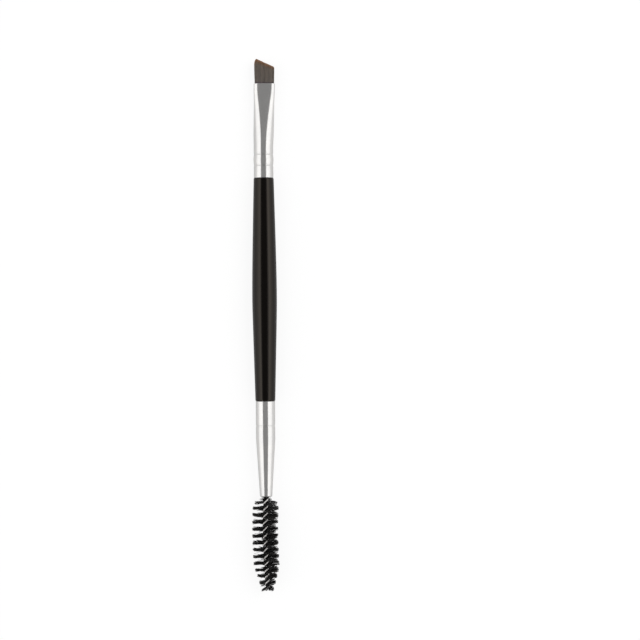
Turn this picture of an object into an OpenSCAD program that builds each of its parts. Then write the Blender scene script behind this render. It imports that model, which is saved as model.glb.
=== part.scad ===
// Double-ended eyebrow brush: a flat brush with a slanted cut on one end of a turned wooden handle, and a
// spoolie, a small twisted wire brush, on the other. The pieces are drawn along one upright axis: z = 0 is
// where the wood meets the tail ferrule, the flat brush points up and the spoolie points down. lay_down()
// then lays the whole brush along Y on the floor, its flat face up, resting on its belly and its spoolie.

/* [Handle] */
// Length of the wood that shows between the two ferrules
handle_len = 67.3; // [58:0.5:85]
// Diameter of the belly, where the handle is thickest
belly_d = 7.45; // [6.8:0.05:7.6]
// Height of the belly above the tail end of the wood
belly_at = 31.1; // [24:0.1:42]
// Softness of the belly towards the brush end: 0 is a straight cone, larger values are rounder
brush_side_softness = 0.3; // [0.05:0.01:1]
// Softness of the belly towards the tail end
tail_side_softness = 0.12; // [0.05:0.01:1]
// How far the wood stands proud of the ferrules at its two ends
shoulder_step = 0.1; // [0:0.01:0.2]
// Radius of the rounded edge at both ends of the wood, at most the step and the ferrule's wall together
shoulder_round = 0.35; // [0.1:0.01:0.5]

/* [Tenons] */
// Length of the brush tenon, the reduced end of the wood inside the brush ferrule
brush_tenon_len = 8.6; // [8.5:0.1:10]
// Length of the tail tenon inside the tail ferrule
tail_tenon_len = 9.6; // [8.8:0.1:12]
// Chamfer at the tip of both tenons
tenon_chamfer = 0.5; // [0.2:0.05:0.6]
// Gap between a ferrule and whatever sits inside it
fit_gap = 0.04; // [0.02:0.01:0.08]

/* [Crimps] */
// Distance from the wood to the first crimp of the brush ferrule
first_crimp_at = 3.8; // [3:0.1:3.9]
// Distance between the two crimps of the brush ferrule
crimp_spacing = 3.3; // [2:0.1:3.6]
// Distance from the wood to the crimp of the tail ferrule
tail_crimp_at = 7.45; // [3:0.05:8]
// Width of a crimp along the ferrule
crimp_w = 0.75; // [0.5:0.05:1.5]
// Depth of a crimp
crimp_depth = 0.12; // [0.05:0.01:0.3]
// How far the brush ferrule swells between its two crimps
swell = 0.1; // [0:0.01:0.2]

/* [Ferrules] */
// Wall thickness of both ferrules
ferrule_wall = 0.25; // [0.15:0.01:0.35]
// Radius of the rounded lips at the open ends of both ferrules
lip_round = 0.12; // [0.05:0.01:0.14]
// Outer diameter of the round end of the brush ferrule
brush_ferrule_d = 5.85; // [5.2:0.05:6.6]
// Length of the brush ferrule
brush_ferrule_len = 28.5; // [26:0.5:36]
// Length of round tube left between the end of the brush tenon and the flattened part
round_margin_len = 0.3; // [0.1:0.1:2]
// Width of the flattened part below the mouth
flat_w = 6.1; // [5.2:0.05:8]
// Width of the flat mouth of the brush ferrule
mouth_w = 6.4; // [5.4:0.1:9]
// Thickness of the flat mouth of the brush ferrule
mouth_t = 2.3; // [1.8:0.05:3.6]
// Distance by which the mouth and the hair sit beside the axis
head_shift = 0.43; // [0:0.01:0.8]
// Outer diameter of the tail ferrule at the wood
tail_ferrule_d = 5.8; // [5.2:0.02:6.6]
// Length of the tail ferrule
tail_ferrule_len = 28.85; // [26:0.05:36]
// Straight length of the tail ferrule past the end of its tenon, before the cone
tail_straight = 1.5; // [0.5:0.1:6]
// Outer diameter of the narrow end of the tail ferrule
nose_d = 3.7; // [3:0.05:4.2]
// Radius with which the narrow end is rolled inwards
nose_roll = 0.45; // [0.3:0.05:0.5]

/* [Brush hair] */
// How far the hair stands out of the ferrule at its long corner
hair_len = 7.22; // [5:0.02:12]
// Slant of the cut, in degrees
cut_angle = 24.4; // [0:0.2:35]
// Width of the rounded long corner
corner_w = 0.74; // [0.2:0.02:1.2]
// Height of the rounded long corner
corner_h = 1.56; // [0.2:0.02:2]
// Radius of the rounded short corner
short_corner = 0.35; // [0.1:0.05:0.6]
// How much wider the hair is at the cut than at the mouth
hair_flare = 0.2; // [0:0.05:1]
// Thickness of the hair at the cut
edge_t = 0.5; // [0.3:0.05:1]
// Depth of the fine ridges that the hair makes
ridge_depth = 0.04; // [0.01:0.01:0.08]
// Length of hair held inside the ferrule
hair_root_len = 9; // [6:0.5:11]
// Length of the glue plug under the hair
hair_glue_len = 5; // [3:0.5:7]

/* [Spoolie wire] */
// Diameter of the wire
wire_d = 0.6; // [0.5:0.02:0.8]
// Length of the twist in which the wire makes one full turn
twist_pitch = 4.16; // [3.2:0.02:6]
// How much tighter the twist is near the tip, as a share
tip_twist = 0.18; // [0:0.02:0.3]
// Thickness of the layer of bristles pinched between the two legs of the wire
pinch_t = 0.36; // [0.1:0.02:0.5]
// Gap between the wire and the bristles or the glue round it
wire_gap = 0.02; // [0.01:0.005:0.05]
// Length of wire hidden inside the tail ferrule
stem_len = 12.5; // [8:0.5:14]
// Length of bare wire past the last bristle
bare_tip = 0.4; // [0:0.1:2]
// Sideways bend of the spoolie, to one side next to the ferrule and to the other at the tip
wire_bend = 0.36; // [0:0.02:0.8]
// Length of the glue plug inside the tail ferrule
stem_glue_len = 13.6; // [12:0.1:16]
// Depth of the glue below the lip of the tail ferrule
stem_glue_recess = 0.5; // [0.3:0.1:2]

/* [Spoolie bristles] */
// Diameter across the bristles
spoolie_d = 7.8; // [7.6:0.05:9.5]
// Diameter across the shorter bristles next to the ferrule
spoolie_neck_d = 6.2; // [5:0.1:7.6]
// Diameter across the bristles at the tip
spoolie_tip_d = 3.3; // [2.4:0.1:6]
// Length of wire that carries bristles
bristle_len = 26.9; // [20:0.1:34]
// Length over which the bristles grow to full length next to the ferrule
neck_len = 2; // [0.5:0.1:4]
// Length of the taper at the tip
taper_len = 7.7; // [3:0.1:12]
// Bare wire between the tail ferrule and the first bristle
bristle_start = 0.8; // [0.6:0.05:3]
// Bundles of bristles in each full turn of the twist
bundles_per_turn = 20; // [16:4:24]
// Width of a bundle at its fullest, along the twist
bundle_w = 0.3; // [0.16:0.01:0.34]
// Thickness of a bundle at its fullest
bundle_t = 0.22; // [0.12:0.01:0.24]
// Width of a bundle at its trimmed end
bundle_end = 0.13; // [0.06:0.01:0.2]
// Distance from the wire's axis at which a bundle is fullest
bundle_belly = 1.5; // [1.2:0.1:2.2]
// How far every other bundle leans up or down the wire
bundle_lean = 0.2; // [0:0.01:0.22]

/* [Hidden] */

// Fineness of the curved surfaces
$fn = 64;
ROUND_STEPS = 4; // steps in each small rounded edge
PROFILE_STEPS = 14; // steps of the handle's outline on each side of the belly
FERRULE_SIDES = 36; // sides of the lofted ferrule and of what fills it
FLAT_STEPS = 11; // rings along the flattened part of the ferrule
HAIR_SIDES = 64; // corners round the hair, every other one in a furrow
HAIR_STEPS = 7; // rings along the hair that shows
ROOT_STEPS = 4; // rings along what the ferrule hides
WIRE_SIDES = 8; // sides of the wire
WIRE_TURN_STEPS = 10; // rings in each turn of the wire
BEND_STEPS = 6; // steps round the fold of the wire

// Radii at the joints between the wood and the ferrules
brush_barrel_r = brush_ferrule_d / 2;
brush_bore_r = brush_barrel_r - ferrule_wall;
brush_end_r = brush_barrel_r + shoulder_step;
shoulder_r = min(shoulder_round, shoulder_step + ferrule_wall);
tail_barrel_r = tail_ferrule_d / 2;
tail_bore_r = tail_barrel_r - ferrule_wall;
tail_end_r = tail_barrel_r + shoulder_step;
belly_r = belly_d / 2;

// The flattening of the brush ferrule starts just past its tenon and widens the tube, most of all at the mouth
flat_start = brush_tenon_len + round_margin_len;
flat_len = brush_ferrule_len - flat_start;
FLATTEN_FROM = 0.07; // share of the flattened length at which the tube starts to flatten
FLATTEN_BY = 0.97; // share at which it is flat
SPREAD_BY = 0.25; // share of the flattened length over which the tube spreads to the flattened width
WIDEN_FROM = 0.65; // share at which it starts to widen to the mouth
WIDEN_TO = 0.94; // share at which it has the width of the mouth
MOUTH_SQUARENESS = 2.5; // exponent of the oval at the mouth, where 2 is an ellipse
brush_crimps = [first_crimp_at, first_crimp_at + crimp_spacing];
swell_at = first_crimp_at + crimp_spacing / 2;
swell_len = crimp_spacing - crimp_w;
hair_root_at = brush_ferrule_len - hair_root_len;
brush_mouth_z = handle_len + brush_ferrule_len;

// The cone of the tail ferrule
cone_start = tail_tenon_len + tail_straight;
nose_r = nose_d / 2;
cone_slope = (tail_barrel_r - nose_r) / (tail_ferrule_len - nose_roll - cone_start);

// The wire and its bristles, measured down from the narrow end of the tail ferrule
wire_r = wire_d / 2;
// Distance of each leg of the wire from the twist's axis, far enough that its straight steps clear the layer
leg_r = (wire_r + pinch_t / 2 + wire_gap) / cos(180 * (1 + tip_twist) / WIRE_TURN_STEPS);
stem_r = leg_r + wire_r; // radius of the twisted pair
turn_rate = 360 / twist_pitch; // degrees of twist for each millimetre
BEND_WAVE = 245; // degrees of the sideways wave between the ferrule and the tip
FOLD_EASE = 2; // length over which the twist dies out towards the fold
PINCH_PAST = 0.25; // how far the pinched layer reaches past the side of the wire
TIGHTEN_EASE = 1.5; // length over which the twist grows tighter past the start of the taper
LAYER_FLARE = 1.05; // how many times thicker the pinched layer is at its edge
layer_r = wire_r + PINCH_PAST;
bundle_step = twist_pitch / bundles_per_turn;
bundles = round(bristle_len / bundle_step);
SIDEWAYS_BUNDLE = 2.5; // steps from the first bristle to the first row that points sideways
wire_out = bristle_start + bristle_len + bare_tip;
nose_z = -tail_ferrule_len;
sideways_z = nose_z - bristle_start - SIDEWAYS_BUNDLE * bundle_step;

// How the brush lies: its axis slopes so that the belly and the first full row of bristles touch the floor
first_full = bristle_start + neck_len;
rest_slope = atan((spoolie_d / 2 - belly_r) / (belly_at + tail_ferrule_len + first_full));
axis_height = max(belly_r * cos(rest_slope) + belly_at * sin(rest_slope),
                  spoolie_d / 2 * cos(rest_slope) + (nose_z - first_full) * sin(rest_slope));
wire_overhang = wire_r / 2; // how far the slanted ends of the wire reach past its length
middle_z = (brush_mouth_z + hair_len + nose_z - wire_out - wire_overhang) / 2;
middle_x = -wire_bend / 2; // the bend makes the spoolie reach further to one side

WOOD = "#151312";
NICKEL = "#c9c6c2";
HAIR = "#5d534c";
GLUE = "#c9b98a";
STEEL = "#a8a19b";
NYLON = "#0c0c0c";

// Small helpers

// A value a share of the way from one value to another
function between(from, to, share) = from + (to - from) * share;

// A share that starts and ends gently, held between 0 and 1
function eased(share) = let (s = min(max(share, 0), 1)) s * s * (3 - 2 * s);

// Depth of the crimps at a distance from the wood
function crimp_at(at, crimps) = crimp_depth * max([for (c = crimps)
    abs(at - c) < crimp_w / 2 ? (1 + cos(360 * (at - c) / crimp_w)) / 2 : 0]);

// Height of the swelling between the two crimps of the brush ferrule, at a distance from the wood
function swell_height(at) = abs(at - swell_at) < swell_len / 2
    ? swell * (1 + cos(360 * (at - swell_at) / swell_len)) / 2 : 0;

// Distances from the wood that draw the crimps
function crimp_stations(crimps) = [for (c = crimps) for (k = [-2 : 2]) c + k * crimp_w / 4];

// Points of a quarter circle round a centre, from one angle to another
function corner(centre, radius, from, to) = [for (k = [0 : ROUND_STEPS])
    let (a = between(from, to, k / ROUND_STEPS)) centre + radius * [cos(a), sin(a)]];

// Faces of a skin over rings of equal size; a closed skin joins its last ring to its first
function skin_faces(rings, sides, closed) = [for (k = [0 : rings - (closed ? 1 : 2)], i = [0 : sides - 1])
    let (a = k * sides + i, d = k * sides + (i + 1) % sides,
         b = ((k + 1) % rings) * sides + i, c = ((k + 1) % rings) * sides + (i + 1) % sides)
    each [[a, b, c], [a, c, d]]];

// A solid lofted through rings, with flat ends
module loft(rings) {
    sides = len(rings[0]);
    last = (len(rings) - 1) * sides;
    polyhedron([for (ring = rings) each ring],
        concat(skin_faces(len(rings), sides, false),
               [[for (i = [0 : sides - 1]) i], [for (i = [sides - 1 : -1 : 0]) last + i]]));
}

// A tube lofted through outer rings upwards and inner rings back down
module loft_tube(outer, inner) {
    rings = concat(outer, [for (k = [len(inner) - 1 : -1 : 0]) inner[k]]);
    polyhedron([for (ring = rings) each ring], skin_faces(len(rings), len(rings[0]), true));
}

// The drop of the handle's outline below the belly, from 0 at the belly to 1 at the end of the wood
function belly_drop(share, softness) =
    (sqrt(share * share + softness * softness) - softness) / (sqrt(1 + softness * softness) - softness);

// Handle

// Outline of the tail half, from the end of the wood up to just below the belly
function tail_side() = [for (k = [PROFILE_STEPS : -1 : 1]) let (s = k / PROFILE_STEPS)
    [between(belly_r, tail_end_r, belly_drop(s, tail_side_softness)),
     belly_at - s * (belly_at - shoulder_r)]];

// Outline of the brush half, from the belly up to the end of the wood
function brush_side() = [for (k = [0 : PROFILE_STEPS]) let (s = k / PROFILE_STEPS)
    [between(belly_r, brush_end_r, belly_drop(s, brush_side_softness)),
     belly_at + s * (handle_len - shoulder_r - belly_at)]];

// Outline of a tenon, from its shoulder out to its chamfered tip
function tenon(bore_r, length, crimps) = let (r = bore_r - fit_gap) concat([[r, 0]],
    [for (at = crimp_stations(crimps)) [r - crimp_at(at, crimps), at]],
    [[r, length - tenon_chamfer], [r - tenon_chamfer, length], [0, length]]);

module handle() {
    tail_tenon = tenon(tail_bore_r, tail_tenon_len, [tail_crimp_at]);
    brush_tenon = tenon(brush_bore_r, brush_tenon_len, brush_crimps);
    outline = concat(
        [for (k = [len(tail_tenon) - 1 : -1 : 0]) [tail_tenon[k].x, -tail_tenon[k].y]],
        corner([tail_end_r - shoulder_r, shoulder_r], shoulder_r, -90, -10),
        tail_side(),
        brush_side(),
        corner([brush_end_r - shoulder_r, handle_len - shoulder_r], shoulder_r, 10, 90),
        [for (p = brush_tenon) [p.x, handle_len + p.y]]);
    color(WOOD) rotate_extrude() polygon(outline);
}

// Brush ferrule, round at the wood and flat at its mouth

// Share of the way from round to flat, at a share of the flattened length
function flatness(share) = eased((share - FLATTEN_FROM) / (FLATTEN_BY - FLATTEN_FROM));

// Half width of the ferrule without its crimps, at a share of the flattened length
function spread(share) = between(
    between(brush_barrel_r, flat_w / 2, eased(share / SPREAD_BY)), mouth_w / 2,
    eased((share - WIDEN_FROM) / (WIDEN_TO - WIDEN_FROM)));

// Half width, half thickness, squareness and sideways place of the ferrule, at a distance from the wood
function ferrule_oval(at) = let (share = (at - flat_start) / flat_len,
        dent = crimp_at(at, brush_crimps) - swell_height(at))
    [spread(share) - dent,
     between(brush_barrel_r, mouth_t / 2, flatness(share)) - dent,
     between(2, MOUTH_SQUARENESS, flatness(share)),
     head_shift * min(max(share, 0), 1)];

// An oval ring, drawn a margin inside the given half width and half thickness
function oval_ring(oval, margin, z, sides) = [for (i = [0 : sides - 1])
    let (c = cos(360 * i / sides), s = sin(360 * i / sides))
    [oval[3] + (oval[0] - margin) * sign(c) * pow(abs(c), 2 / oval[2]),
     (oval[1] - margin) * sign(s) * pow(abs(s), 2 / oval[2]), z]];

// A ring of the ferrule or of what fills it, a margin inside the ferrule's outside
function ferrule_ring(at, margin) = oval_ring(ferrule_oval(at), margin, handle_len + at, FERRULE_SIDES);

module brush_ferrule() {
    stations = concat([0], crimp_stations([brush_crimps[0]]),
        [for (k = [-1 : 1]) swell_at + k * swell_len / 4], crimp_stations([brush_crimps[1]]),
        [for (k = [0 : FLAT_STEPS]) flat_start + k * (flat_len - lip_round) / FLAT_STEPS]);
    color(NICKEL) loft_tube(
        concat([for (at = stations) ferrule_ring(at, 0)], [ferrule_ring(brush_ferrule_len, lip_round)]),
        [for (at = concat(stations, brush_ferrule_len)) ferrule_ring(at, ferrule_wall)]);
}

// Glue plug that holds the roots of the hair

module hair_glue() {
    color(GLUE) loft([for (k = [0 : ROOT_STEPS])
        ferrule_ring(hair_root_at - hair_glue_len * (1 - k / ROOT_STEPS), ferrule_wall + fit_gap)]);
}

// Flat brush of hair with a slanted cut and a rounded long corner

mouth_oval = ferrule_oval(brush_ferrule_len);
hair_mouth_half_w = mouth_oval[0] - ferrule_wall - fit_gap;
hair_mouth_half_t = mouth_oval[1] - ferrule_wall - fit_gap;
hair_half_w = hair_mouth_half_w + hair_flare / 2;

// Drop of a rounded corner, at a share of the way out to its end
function rounding(share) = 1 - sqrt(1 - pow(min(max(share, 0), 1), 2));

// Height of the cut above the mouth, at a place across the hair
function cut_height(x) = let (corner_x = corner_w - hair_half_w)
    hair_len - max(0, x - corner_x) * tan(cut_angle) - corner_h * rounding((corner_x - x) / corner_w)
        - short_corner * rounding((x - hair_half_w + short_corner) / short_corner);

// A ring of the hair at a share of the way from the mouth to the cut, its furrows growing from the mouth
function hair_ring(share) = [for (i = [0 : HAIR_SIDES - 1])
    let (c = cos(360 * i / HAIR_SIDES), s = sin(360 * i / HAIR_SIDES), power = 2 / MOUTH_SQUARENESS,
         x = between(hair_mouth_half_w, hair_half_w, share) * sign(c) * pow(abs(c), power),
         half_t = between(hair_mouth_half_t, edge_t / 2, pow(share, 1.3)),
         furrow = i % 2 * ridge_depth * eased(4 * share))
    [head_shift + x, max(half_t * pow(abs(s), power) - furrow, 0) * sign(s),
     brush_mouth_z + share * cut_height(x)]];

// Faces across the cut, between the corners that lie opposite each other
function cut_faces(first) = [for (i = [0 : HAIR_SIDES / 2 - 1])
    let (a = first + i, b = first + i + 1, c = first + (HAIR_SIDES - i - 1) % HAIR_SIDES,
         d = first + (HAIR_SIDES - i) % HAIR_SIDES)
    each concat(i > 0 ? [[a, d, b]] : [], i < HAIR_SIDES / 2 - 1 ? [[b, d, c]] : [])];

module brush_hair() {
    root = [for (k = [0 : ROOT_STEPS - 1])
        oval_ring(ferrule_oval(hair_root_at + k * hair_root_len / ROOT_STEPS), ferrule_wall + fit_gap,
                  handle_len + hair_root_at + k * hair_root_len / ROOT_STEPS, HAIR_SIDES)];
    rings = concat(root, [for (k = [0 : HAIR_STEPS]) hair_ring(k / HAIR_STEPS)]);
    color(HAIR) polyhedron([for (ring = rings) each ring],
        concat(skin_faces(len(rings), HAIR_SIDES, false), [[for (i = [0 : HAIR_SIDES - 1]) i]],
               cut_faces((len(rings) - 1) * HAIR_SIDES)));
}

// Tail ferrule, a drawn cone with a rounded nose

// Outer radius of the tail ferrule at a distance from the wood
function tail_r(at) = tail_barrel_r - cone_slope * max(0, at - cone_start) - crimp_at(at, [tail_crimp_at]);

module spoolie_ferrule() {
    stations = concat(crimp_stations([tail_crimp_at]), [cone_start]);
    roll_centre = [nose_r - nose_roll, nose_roll - tail_ferrule_len];
    outer = concat(
        corner([tail_barrel_r - lip_round, -lip_round], lip_round, 90, 0),
        [for (at = stations) [tail_r(at), -at]],
        corner(roll_centre, nose_roll, 0, -90));
    inner = concat(
        [for (at = concat([0], stations)) [tail_r(at) - ferrule_wall, -at]],
        corner(roll_centre, nose_roll - ferrule_wall, 0, -90));
    color(NICKEL) rotate_extrude()
        polygon(concat(outer, [for (k = [len(inner) - 1 : -1 : 0]) inner[k]]));
}

// Glue plug that fills the cone and holds the folded end of the wire

module spoolie_glue() {
    low = tail_ferrule_len - stem_glue_recess;
    high = low - stem_glue_len;
    margin = ferrule_wall + fit_gap;
    pocket_r = stem_r + wire_gap;
    pocket_top = nose_z + stem_len + stem_r + wire_gap;
    color(GLUE) rotate_extrude() polygon([
        [0, -high], [tail_r(high) - margin, -high], [tail_r(low) - margin, -low],
        [pocket_r, -low], [pocket_r, pocket_top], [0, pocket_top]]);
}

// Wire of the spoolie: one wire, folded in half and twisted

// Sideways bend of the spoolie at a height, as a sideways wave over its length
function bend(z) = -wire_bend * sin(BEND_WAVE * max(0, nose_z - z) / wire_out);

// Length past the start of the taper, where the twist grows tighter
function past_taper(z) = max(0, nose_z - bristle_start - bristle_len + taper_len - z);

// Direction in which the bristles point at a height, turning right-handed up the wire
function bristle_angle(z) = let (past = past_taper(z))
    turn_rate * (z - sideways_z - tip_twist * past * past / (past + TIGHTEN_EASE));

// Degrees of twist for each millimetre at a height
function twist_rate(z) = let (past = past_taper(z), reach = past + TIGHTEN_EASE)
    turn_rate * (1 + tip_twist * past * (past + 2 * TIGHTEN_EASE) / (reach * reach));

fold_z = nose_z + stem_len;

// Share of the full twist that is left at a height, dying out towards the fold
function twist_left(z) = min(1, (fold_z - z) / FOLD_EASE);

// Angle of the first leg of the wire at a height, square to the bristles
function leg_angle(z) = let (w = max(0, z - fold_z + FOLD_EASE))
    bristle_angle(z) + 90 - turn_rate * w * w / (2 * FOLD_EASE);

// A ring round the wire, from its centre, the direction it runs in and a direction square to that
function wire_ring(centre, along, out) = let (side = cross(along, out)) [for (i = [0 : WIRE_SIDES - 1])
    let (a = 360 * i / WIRE_SIDES) centre + wire_r * (cos(a) * out + sin(a) * side)];

// A ring of one leg, with turned 0 or 180 for the first or second and heading 1 up or -1 down
function leg_ring(z, turned, heading) =
    let (a = leg_angle(z) + turned, out = [cos(a), sin(a), 0],
         run = [-sin(a), cos(a), 0] * leg_r * twist_left(z) * twist_rate(z) * PI / 180 + [0, 0, 1])
    wire_ring([bend(z), 0, z] + leg_r * out, heading * run / norm(run), out);

// A ring of the fold over the top, at an angle round it
function fold_ring(angle) =
    let (a = leg_angle(fold_z), out = [cos(a), sin(a), 0] * cos(angle) + [0, 0, sin(angle)],
         along = [0, 0, cos(angle)] - [cos(a), sin(a), 0] * sin(angle))
    wire_ring([0, 0, fold_z] + leg_r * out, along, out);

module spoolie_wire() {
    steps = ceil((wire_out + stem_len) / twist_pitch * WIRE_TURN_STEPS);
    heights = [for (k = [0 : steps]) fold_z - (wire_out + stem_len) * (1 - k / steps)];
    color(STEEL) loft(concat(
        [for (k = [0 : steps]) leg_ring(heights[k], 0, 1)],
        [for (k = [1 : BEND_STEPS - 1]) fold_ring(180 * k / BEND_STEPS)],
        [for (k = [steps : -1 : 0]) leg_ring(heights[k], 180, -1)]));
}

// Bristles: a layer pinched between the legs of the wire fans out into bundles on both sides

// Half the diameter that the bristles are trimmed to, at a distance from the first bristle
function trimmed_r(at) = let (past = at - (bristle_len - taper_len))
    at < neck_len ? between(spoolie_neck_d, spoolie_d, sin(90 * at / neck_len)) / 2
    : past > 0 ? between(spoolie_d, spoolie_tip_d, pow(past / taper_len, 1.3)) / 2
    : spoolie_d / 2;

// The height of a step of the fan; steps are counted up the wire from its tip
function fan_z(step) = nose_z - bristle_start - bristle_len + step * bundle_step;

// A point of the fan: reach is its signed distance from the axis, along and across are measured on the fan
function fan_point(step, reach, along, across, lean) =
    let (z = fan_z(step), a = bristle_angle(z), out = [cos(a), sin(a), 0], side = [-sin(a), cos(a), 0],
         rise = 180 / PI / twist_rate(z), slant = norm([reach, rise]))
    [bend(z), 0, z + lean] + reach * out
        + (side * reach + [0, 0, rise]) / slant * along
        + (side * rise - [0, 0, reach]) / slant * across;

// The six corners of the pinched layer at a step
function layer_corners(step) = let (thin = pinch_t / 2, thick = thin * LAYER_FLARE) [
    fan_point(step, -layer_r, 0, thick, 0), fan_point(step, 0, 0, thin, 0),
    fan_point(step, layer_r, 0, thick, 0), fan_point(step, layer_r, 0, -thick, 0),
    fan_point(step, 0, 0, -thin, 0), fan_point(step, -layer_r, 0, -thick, 0)];

// The four corners of a bundle at a reach, with its width along the twist and its thickness
function bundle_corners(step, reach, width, thickness) = let (lean = (step % 2 * 2 - 1) * bundle_lean)
    [for (c = [[-1, 1], [1, 1], [1, -1], [-1, -1]])
        fan_point(step + 0.5, reach, c.x * width / 2, c.y * thickness / 2, lean)];

// The eight corners of one bundle outside the layer
function bundle_points(step, side) =
    concat(bundle_corners(step, side * bundle_belly, bundle_w, bundle_t),
           bundle_corners(step, side * trimmed_r(bristle_len - (step + 0.5) * bundle_step),
                          bundle_end, bundle_end));

// Faces of one bundle, from its root in the layer over its belly to its trimmed end
function bundle_faces(root, first, side) = let (
        rings = [root, [for (i = [0 : 3]) first + i], [for (i = [4 : 7]) first + i]],
        turned = [for (ring = rings) side > 0 ? ring : [ring[0], ring[3], ring[2], ring[1]]])
    concat([for (k = [0 : 1], i = [0 : 3]) let (j = (i + 1) % 4)
                each [[turned[k][i], turned[k + 1][i], turned[k + 1][j]],
                      [turned[k][i], turned[k + 1][j], turned[k][j]]]],
           [[turned[2][2], turned[2][1], turned[2][0]], [turned[2][3], turned[2][2], turned[2][0]]]);

// Faces of the layer between one step and the next
function layer_faces(step) = let (a = 6 * step, b = a + 6) [
    [a, a + 1, b + 1], [a, b + 1, b], [a + 1, a + 2, b + 2], [a + 1, b + 2, b + 1],
    [a + 4, a + 5, b + 5], [a + 4, b + 5, b + 4], [a + 3, a + 4, b + 4], [a + 3, b + 4, b + 3]];

module spoolie_bristles() {
    layer = 6 * (bundles + 1);
    top = 6 * bundles;
    points = concat([for (k = [0 : bundles]) each layer_corners(k)],
        [for (k = [0 : bundles - 1]) each concat(bundle_points(k, -1), bundle_points(k, 1))]);
    faces = concat(
        [[0, 5, 4], [0, 4, 1], [1, 4, 3], [1, 3, 2]],
        [for (k = [0 : bundles - 1]) each concat(layer_faces(k),
            bundle_faces([6 * k, 6 * k + 6, 6 * k + 11, 6 * k + 5], layer + 16 * k, -1),
            bundle_faces([6 * k + 2, 6 * k + 8, 6 * k + 9, 6 * k + 3], layer + 16 * k + 8, 1))],
        [[top, top + 1, top + 4], [top, top + 4, top + 5],
         [top + 1, top + 2, top + 3], [top + 1, top + 3, top + 4]]);
    color(NYLON) polyhedron(points, faces);
}

// Lays the upright brush down on the floor, along Y and centred
module lay_down() {
    translate([-middle_x, -middle_z * cos(rest_slope), axis_height]) rotate([-90 - rest_slope, 0, 0]) children();
}

lay_down() handle();
lay_down() brush_ferrule();
lay_down() brush_hair();
lay_down() hair_glue();
lay_down() spoolie_ferrule();
lay_down() spoolie_glue();
lay_down() spoolie_wire();
lay_down() spoolie_bristles();
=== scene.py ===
"""The looks of a double-ended eyebrow brush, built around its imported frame.

Every piece is drawn upright in millimetres, as its maker would draw it: z = 0 is where the wood meets the
tail ferrule, the flat brush points up and the spoolie points down. piece() then lays it down in the row
frame, in metres, where the brush lies along Y on the floor.
"""
import math
import random

import bpy
from mathutils import Matrix, Vector


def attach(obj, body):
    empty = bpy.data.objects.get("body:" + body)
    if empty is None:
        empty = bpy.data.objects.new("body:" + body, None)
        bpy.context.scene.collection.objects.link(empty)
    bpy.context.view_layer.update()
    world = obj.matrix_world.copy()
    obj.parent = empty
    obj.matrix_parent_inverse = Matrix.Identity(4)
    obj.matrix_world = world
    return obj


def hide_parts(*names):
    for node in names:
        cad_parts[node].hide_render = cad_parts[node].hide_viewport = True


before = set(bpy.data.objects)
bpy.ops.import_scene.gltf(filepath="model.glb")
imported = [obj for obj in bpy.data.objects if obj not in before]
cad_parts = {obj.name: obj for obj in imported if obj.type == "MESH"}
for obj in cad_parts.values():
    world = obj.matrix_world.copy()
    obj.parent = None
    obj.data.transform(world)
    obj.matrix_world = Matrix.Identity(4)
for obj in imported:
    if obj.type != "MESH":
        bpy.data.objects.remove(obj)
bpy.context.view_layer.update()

MM = 0.001
TURN = 2 * math.pi
WHITE = (1.0, 1.0, 1.0, 1.0)

# Handle
HANDLE_LEN = 67.3
BELLY_R = 3.725
BELLY_AT = 31.1
BRUSH_SIDE_SOFTNESS = 0.3
TAIL_SIDE_SOFTNESS = 0.12
SHOULDER_STEP = 0.1  # how far the wood stands out beside the ferrules
SHOULDER_ROUND = 0.35
TENON_SHOWN = 1.0  # length of the tenons, of which nothing can be seen

# Ferrules and their crimps; places along them are measured from the wood
WALL = 0.25
LIP_ROUND = 0.12
FIT_GAP = 0.04
BRUSH_BARREL_R = 2.925
BRUSH_FERRULE_LEN = 28.5
FLAT_HALF_W = 3.05
MOUTH_HALF_W = 3.2
MOUTH_HALF_T = 1.15
MOUTH_SQUARENESS = 2.5
HEAD_SHIFT = 0.43  # how far the mouth and the hair sit beside the axis
FLAT_START = 8.9
FLATTEN_FROM, FLATTEN_BY = 0.07, 0.97
SPREAD_BY = 0.25
WIDEN_FROM, WIDEN_TO = 0.65, 0.94
TAIL_BARREL_R = 2.9
TAIL_FERRULE_LEN = 28.85
CONE_START = 11.1
NOSE_R = 1.85
NOSE_ROLL = 0.45  # radius with which the narrow end is rolled inwards
BRUSH_CRIMPS = (3.8, 7.1)
TAIL_CRIMPS = (7.45,)
CRIMP_W = 0.75
CRIMP_DEPTH = 0.12
SWELL = 0.1
SWELL_AT, SWELL_LEN = 5.45, 2.55
FLAT_LEN = BRUSH_FERRULE_LEN - FLAT_START
MOUTH_Z = HANDLE_LEN + BRUSH_FERRULE_LEN
NOSE_Z = -TAIL_FERRULE_LEN

# Brush hair
HAIR_LEN = 7.22
CUT_ANGLE = math.radians(24.4)
CORNER_W, CORNER_H = 0.74, 1.56
SHORT_CORNER = 0.35
HAIR_FLARE = 0.2
EDGE_T = 0.5
HAIR_MOUTH_HALF_W = MOUTH_HALF_W - WALL - FIT_GAP
HAIR_MOUTH_HALF_T = MOUTH_HALF_T - WALL - FIT_GAP
HAIR_HALF_W = HAIR_MOUTH_HALF_W + HAIR_FLARE / 2

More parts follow.
